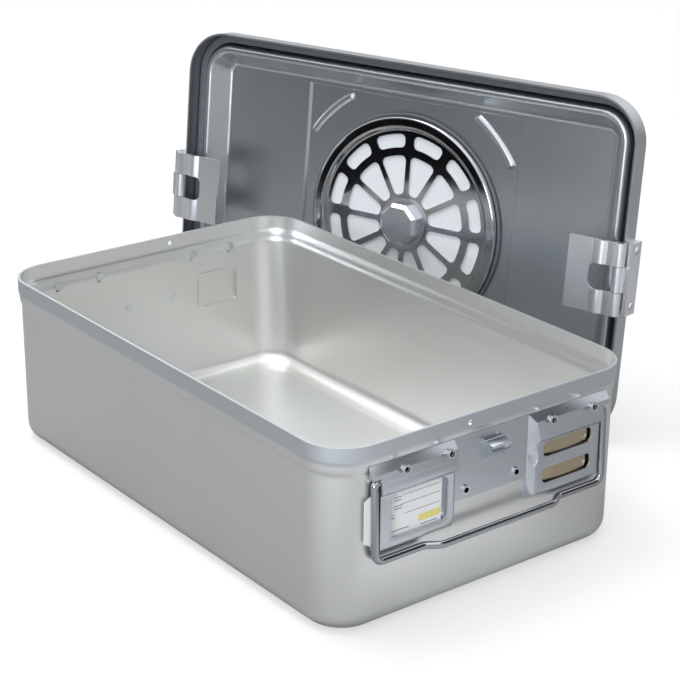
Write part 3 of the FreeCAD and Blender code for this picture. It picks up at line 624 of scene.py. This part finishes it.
def print_patches(name, patches, ink, end):
    """Thin flat patches of ink on the card's face, each given by its centre, width and height in mm."""
    bpy.ops.object.select_all(action="DESELECT")
    side = 1 if end == "near" else -1
    made = []
    for y, z, width, height in patches:
        middle = Vector((side * (CARD_FACE + PRINT_HEIGHT), side * y, z)) * MM
        bpy.ops.mesh.primitive_plane_add(size=1, location=middle, rotation=(0, side * math.pi / 2, 0))
        patch = bpy.context.object
        patch.scale = (height * MM, width * MM, 1)
        bpy.ops.object.transform_apply(location=True, rotation=True, scale=True)
        patch.name = name
        made.append(patch)
    for patch in made:
        patch.select_set(True)
    bpy.context.view_layer.objects.active = made[0]
    bpy.ops.object.join()
    printed = bpy.context.object
    printed.data.materials.clear()
    printed.data.materials.append(ink)
    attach(printed, "tray")


# The card's outline is drawn out along y and then turned over to stand across x.
card = bar_along_y("card", CARD_OUTLINE, CARD_BACK, CARD_FACE)
for vertex in card.data.vertices:
    vertex.co = (vertex.co.y, vertex.co.x, vertex.co.z)
select_only(card)
bpy.ops.object.mode_set(mode="EDIT")
bpy.ops.mesh.select_all(action="SELECT")
bpy.ops.mesh.normals_make_consistent(inside=False)
bpy.ops.object.mode_set(mode="OBJECT")
both_ends(card, "contents_card", card_skin, "label_card")
rules = [(y, z, width, RULE_WIDTH) for y, z, width in RULED_LINES]
for end in ends:
    print_patches(end + "_card_bars", list(GREY_BARS) + rules, grey_ink, end)
    print_patches(end + "_card_block", [YELLOW_BLOCK], yellow_ink, end)

# The bails. Bright drawn steel wire, bent to a loop and then chromium plated, so it mirrors the room; its
# base colour is set darker than bright chrome, as painted shade in its reflections.
# Each end turns in its bore on the joint's axis. From there the wire leads out past the walls, a
# little thicker than in the solids, and the loop lies flatter against the panel, as photographed.
# Painted shade: the base colour is darker than bright chrome, which darkens the loop's reflections.
chrome, tree, shader, place = begin_material("chromium_plated_steel", "#A9AAAE",
                                             metallic=1.0, roughness=0.06)
ripple = add_node(tree, "ShaderNodeTexNoise", None, Vector=place, Scale=per_metre(14.0), Detail=1.0)
vary_roughness(tree, shader, ripple.outputs[0], 0.04, 0.1)
raise_grain(tree, shader, ripple.outputs[0], 0.00006)
WIRE_SWELL = 0.3
WIRE_LEAD = 1.7
LEAD_START = 3.0
LEAD_LENGTH = 11.0
BAIL_FLATTENING = 0.22
for end in ends:
    side = 1 if end == "near" else -1
    wire = merged_copy(end + "_bail", end + "_chromed_bail")
    bpy.ops.object.mode_set(mode="EDIT")
    bpy.ops.mesh.select_all(action="SELECT")
    bpy.ops.transform.shrink_fatten(value=WIRE_SWELL * MM)
    bpy.ops.object.mode_set(mode="OBJECT")
    for vertex in wire.data.vertices:
        out = side * vertex.co.x / MM
        from_axis = math.hypot(out - PIVOT_AXIS, vertex.co.z / MM - PIVOT_HEIGHT)
        share = min(max((from_axis - LEAD_START) / LEAD_LENGTH, 0.0), 1.0)
        lead = WIRE_LEAD * share * share * (3 - 2 * share)
        pressed = BAIL_FLATTENING * max(out - PIVOT_AXIS - LEAD_START, 0.0)
        vertex.co.x = side * (out + lead - pressed) * MM
    finish_piece(wire, chrome, end + "_bail", end + "_bail")

# The lid. Pressed from aluminium sheet and anodised a little darker than the tray, with a channel for
# the gasket, a locating ridge and a raised middle.
lid_skin = satin_aluminium("satin_anodised_lid_aluminium", "#CFD2D4", "#BDC1C4", roughness=0.3,
                           grain=0.5, clouds=70.0, depth=0.000012)
dress("lid_shell", lid_skin)

# The gasket. A ring of moulded grey silicone, soft and matt with a fine bloom, that is pushed into the
# lid's channel. The ring seal behind the filter plate is moulded in the same way.
silicone, tree, shader, place = begin_material("moulded_silicone", "#5F6468",
                                               metallic=0.0, roughness=0.55)
bloom = add_node(tree, "ShaderNodeTexNoise", None, Vector=place, Scale=per_metre(3.0), Detail=4.0)
vary_colour(tree, shader, bloom.outputs[0], "#565B5F", "#6A6F73")
raise_grain(tree, shader, bloom.outputs[0], 0.00001)
dress("lid_gasket", silicone)
dress("retainer_seal", silicone)

# The filter. A round sheet of white non-woven fabric that lets steam through. It is cut from the roll
# and laid in loose, and the filter plate clamps it down.
filter_skin, tree, shader, place = begin_material("non_woven_fabric", "#E0E4E5",
                                                  metallic=0.0, roughness=0.9)
web = add_node(tree, "ShaderNodeTexNoise", None, Vector=place, Scale=per_metre(1.2), Detail=6.0)
vary_colour(tree, shader, web.outputs[0], "#D2D6D7", "#EAEDED")
raise_grain(tree, shader, web.outputs[0], 0.00008)
shader.inputs["Sheen Weight"].default_value = 0.3
dress("filter_sheet", filter_skin)

# The filter plate and its knob. The plate is pressed from stainless steel sheet and electropolished,
# so it mirrors the room with only a slight waviness. The knob is turned from stainless steel bar and
# blasted, which leaves it satin.
polished, tree, shader, place = begin_material("electropolished_stainless_steel", "#BDBDBF",
                                               metallic=1.0, roughness=0.08)
waves = add_node(tree, "ShaderNodeTexNoise", None, Vector=place, Scale=per_metre(25.0), Detail=2.0)
vary_roughness(tree, shader, waves.outputs[0], 0.05, 0.12)
raise_grain(tree, shader, waves.outputs[0], 0.0001)
dress("filter_retainer", polished)
knob_skin = satin_aluminium("blasted_stainless_steel", "#D6D6DB", "#CFCFD4", roughness=0.26,
                            grain=0.3, clouds=20.0, depth=0.000002)
dress("retainer_knob", knob_skin)

# The lid latches. Leaf and flap are cut from extruded aluminium, finely etched and anodised in
# natural silver. The leaf is riveted to the lid, and the flap turns on its pin.
latch_skin = satin_aluminium("anodised_extruded_aluminium", "#F6F7F8", "#EEF0F2", roughness=0.33,
                             grain=0.15, clouds=40.0, depth=0.000001)
for side in latch_sides:
    for piece in ("latch_leaf", "latch_flap"):
        dress(side + "_" + piece, latch_skin)

# The floor. A sheet of white paper that glows a little to the camera. For all other rays it is a matt
# grey with painted light on it: it gets lighter towards the camera, and a painted pool of light lies before
# the near end panel, for the end walls to mirror. In front of the tray the paper ends; beyond it, along a
# slanted strip, the floor is painted nearly black, a painted dark reflection that the filter plate mirrors
# as black.
FLOOR_HALF = 6.0
FLOOR_GLOW = 0.55
# The grey and the lighter grey of the painted light towards the camera, and where it runs.
FLOOR_GREY = "#8E8E8E"
FLOOR_PAINTED_LIGHT = "#BABABA"
LIGHTER_FROM = 0.3
LIGHTER_TO = 0.8
# The painted pool of light: its colour, its centre, and where it is full and where it has faded out.
PAINTED_BOUNCE_COLOUR = "#C8C8C8"
BOUNCE_CENTRE = (0.27, 0.0, 0.0)
BOUNCE_CORE = 0.04
BOUNCE_EDGE = 0.19
PAPER_END = -0.95
PAPER_FADE = 0.06
# The painted dark reflection: its colour, and the slanted strip past the paper's end that it lies along.
PAINTED_DARK_GROUND = "#0E0E10"
DARK_STRIP_SLOPE = 0.226
DARK_STRIP_PLACE = -0.13
DARK_STRIP_CORE = 0.3
DARK_STRIP_EDGE = 0.5
bpy.ops.object.select_all(action="DESELECT")
bpy.ops.mesh.primitive_plane_add(size=2 * FLOOR_HALF, location=(0, 0, 0))
floor = bpy.context.object
floor.name = "studio_floor"
paper, tree, shader, place = begin_material("white_backdrop_paper", "#969696",
                                            metallic=0.0, roughness=0.9)
rays = add_node(tree, "ShaderNodeLightPath").outputs["Is Camera Ray"]
# Painted light for rays that are not from the camera: a pool before the near end panel, and a lighter grey
# towards the camera.
reach = add_node(tree, "ShaderNodeVectorMath", {"operation": "DISTANCE"}, _0=place, _1=BOUNCE_CENTRE)
painted_bounce = add_node(tree, "ShaderNodeMapRange", {"interpolation_type": "SMOOTHSTEP"},
                  Value=reach.outputs["Value"], From_Min=BOUNCE_CORE, From_Max=BOUNCE_EDGE,
                  To_Min=1.0, To_Max=0.0)
axes = add_node(tree, "ShaderNodeSeparateXYZ", None, Vector=place)
forward = add_node(tree, "ShaderNodeMath", {"operation": "SUBTRACT"},
                   _0=axes.outputs["X"], _1=axes.outputs["Y"])
painted_fill = add_node(tree, "ShaderNodeMapRange", None, Value=forward.outputs[0],
                From_Min=LIGHTER_FROM, From_Max=LIGHTER_TO)
base = add_node(tree, "ShaderNodeMix", {"data_type": "RGBA"}, Factor=painted_fill.outputs[0],
                _6=linear(FLOOR_GREY), _7=linear(FLOOR_PAINTED_LIGHT))
painted_light_colour = add_node(tree, "ShaderNodeMix", {"data_type": "RGBA"}, Factor=painted_bounce.outputs[0],
                _6=base.outputs[2], _7=linear(PAINTED_BOUNCE_COLOUR))
# Painted dark reflection: past the paper's end and near the slanted strip, the floor is nearly black.
on_paper = add_node(tree, "ShaderNodeMapRange", None, Value=axes.outputs["Y"],
                    From_Min=PAPER_END, From_Max=PAPER_END + PAPER_FADE)
dark_strip_line = add_node(tree, "ShaderNodeMath", {"operation": "MULTIPLY_ADD"}, _0=axes.outputs["Y"],
                     _1=DARK_STRIP_SLOPE, _2=DARK_STRIP_PLACE)
offset = add_node(tree, "ShaderNodeMath", {"operation": "SUBTRACT"},
                  _0=axes.outputs["X"], _1=dark_strip_line.outputs[0])
aside = add_node(tree, "ShaderNodeMath", {"operation": "ABSOLUTE"}, _0=offset.outputs[0])
beside = add_node(tree, "ShaderNodeMapRange", None, Value=aside.outputs[0],
                  From_Min=DARK_STRIP_CORE, From_Max=DARK_STRIP_EDGE)
clear = add_node(tree, "ShaderNodeMath", {"operation": "MAXIMUM"},
                 _0=on_paper.outputs[0], _1=beside.outputs[0])
painted_dark_ground = add_node(tree, "ShaderNodeMix", {"data_type": "RGBA"}, Factor=clear.outputs[0],
                  _6=linear(PAINTED_DARK_GROUND), _7=painted_light_colour.outputs[2])
lit_paper = add_node(tree, "ShaderNodeBsdfDiffuse", None, Color=painted_dark_ground.outputs[2])
glow = add_node(tree, "ShaderNodeEmission", None, Color=(1, 1, 1, 1), Strength=FLOOR_GLOW)
mixed = add_node(tree, "ShaderNodeAddShader", None, _0=shader.outputs[0], _1=glow.outputs[0])
choose = add_node(tree, "ShaderNodeMixShader", None, _0=rays, _1=lit_paper.outputs[0], _2=mixed.outputs[0])
tree.links.new(choose.outputs[0], tree.nodes["Material Output"].inputs["Surface"])
floor.data.materials.append(paper)

# The room. White, brighter overhead, and dark in two places that draw the dark lines in the polished
# steel. The camera itself sees plain white behind the part. Each dark place has a direction, the
# cosines at which it begins and is at its darkest, and how dark it gets.
ROOM_COLOUR = "#F1F3F5"
ROOM_LOW = 0.36
ROOM_HIGH = 2.0
ROOM_TOP = 0.85
DARK_PLACES = (((0.66, 0.5, 0.62), 0.86, 0.92, 0.95), ((-0.3, -0.92, 0.2), 0.9, 0.965, 0.9))
world = bpy.data.worlds.new("studio_room")
bpy.context.scene.world = world
world.use_nodes = True
tree = world.node_tree
view_ray = add_node(tree, "ShaderNodeLightPath").outputs["Is Camera Ray"]
outward = add_node(tree, "ShaderNodeTexCoord").outputs["Generated"]
height = add_node(tree, "ShaderNodeSeparateXYZ", None, Vector=outward).outputs["Z"]
level = add_node(tree, "ShaderNodeMapRange", None, Value=height, From_Min=0.0, From_Max=ROOM_TOP,
                 To_Min=ROOM_LOW, To_Max=ROOM_HIGH).outputs[0]
for direction, edge, core, depth in DARK_PLACES:
    toward = Vector(direction).normalized()
    near = add_node(tree, "ShaderNodeVectorMath", {"operation": "DOT_PRODUCT"}, _0=outward, _1=toward)
    shade = add_node(tree, "ShaderNodeMapRange", {"interpolation_type": "SMOOTHSTEP"},
                     Value=near.outputs["Value"], From_Min=edge, From_Max=core,
                     To_Min=1.0, To_Max=1.0 - depth)
    level = add_node(tree, "ShaderNodeMath", {"operation": "MULTIPLY"},
                     _0=level, _1=shade.outputs[0]).outputs[0]
room = add_node(tree, "ShaderNodeBackground", None, Color=linear(ROOM_COLOUR), Strength=level)
white = add_node(tree, "ShaderNodeBackground", None, Color=(1, 1, 1, 1), Strength=1.0)
room_mix = add_node(tree, "ShaderNodeMixShader", None, _0=view_ray,
                    _1=room.outputs[0], _2=white.outputs[0])
tree.links.new(room_mix.outputs[0], tree.nodes["World Output"].inputs["Surface"])


def soft_light(name, place, target, size, watts, colour):
    """A rectangular area light that looks at a point."""
    lamp = bpy.data.lights.new(name, "AREA")
    lamp.shape = "RECTANGLE"
    lamp.size, lamp.size_y = size
    lamp.energy = watts
    lamp.color = linear(colour)[:3]
    holder = bpy.data.objects.new(name, lamp)
    bpy.context.scene.collection.objects.link(holder)
    aim = (Vector(target) - Vector(place)).to_track_quat("-Z", "Y")
    holder.matrix_world = Matrix.Translation(place) @ aim.to_matrix().to_4x4()


# The lights. A soft box over the tray, and a low, cool window at the front left.
soft_light("overhead_softbox", (-0.4, -0.3, 1.7), (0, 0.05, 0.1), (0.9, 0.7), 14, "#FFFFFF")
soft_light("low_window", (0.9, -1.5, 0.5), (0.2, -0.1, 0.07), (0.35, 0.5), 10, "#E6EEFF")

# The camera, fitted to the photograph.
CAMERA_PLACE = Vector((1.0899, -0.8142, 0.6578))
CAMERA_YAW = 2.47826
CAMERA_PITCH = -0.37690
CAMERA_ROLL = 0.01005
FOCAL_PIXELS = 1875.12
IMAGE_SIDE = 680
SENSOR_WIDTH = 36.0
CAMERA_SHIFT = 0.0009
CLIP_START = 0.01
camera_data = bpy.data.cameras.new("photo_camera")
camera_data.sensor_width = SENSOR_WIDTH
camera_data.lens = FOCAL_PIXELS / IMAGE_SIDE * SENSOR_WIDTH
camera_data.shift_x = CAMERA_SHIFT
camera_data.clip_start = CLIP_START
camera = bpy.data.objects.new("photo_camera", camera_data)
bpy.context.scene.collection.objects.link(camera)
heading = Matrix.Rotation(CAMERA_YAW - math.pi / 2, 4, "Z")
tilt = Matrix.Rotation(math.pi / 2 + CAMERA_PITCH, 4, "X")
roll = Matrix.Rotation(CAMERA_ROLL, 4, "Z")
camera.matrix_world = Matrix.Translation(CAMERA_PLACE) @ heading @ tilt @ roll
bpy.context.scene.camera = camera
bpy.context.scene.view_settings.view_transform = "Standard"
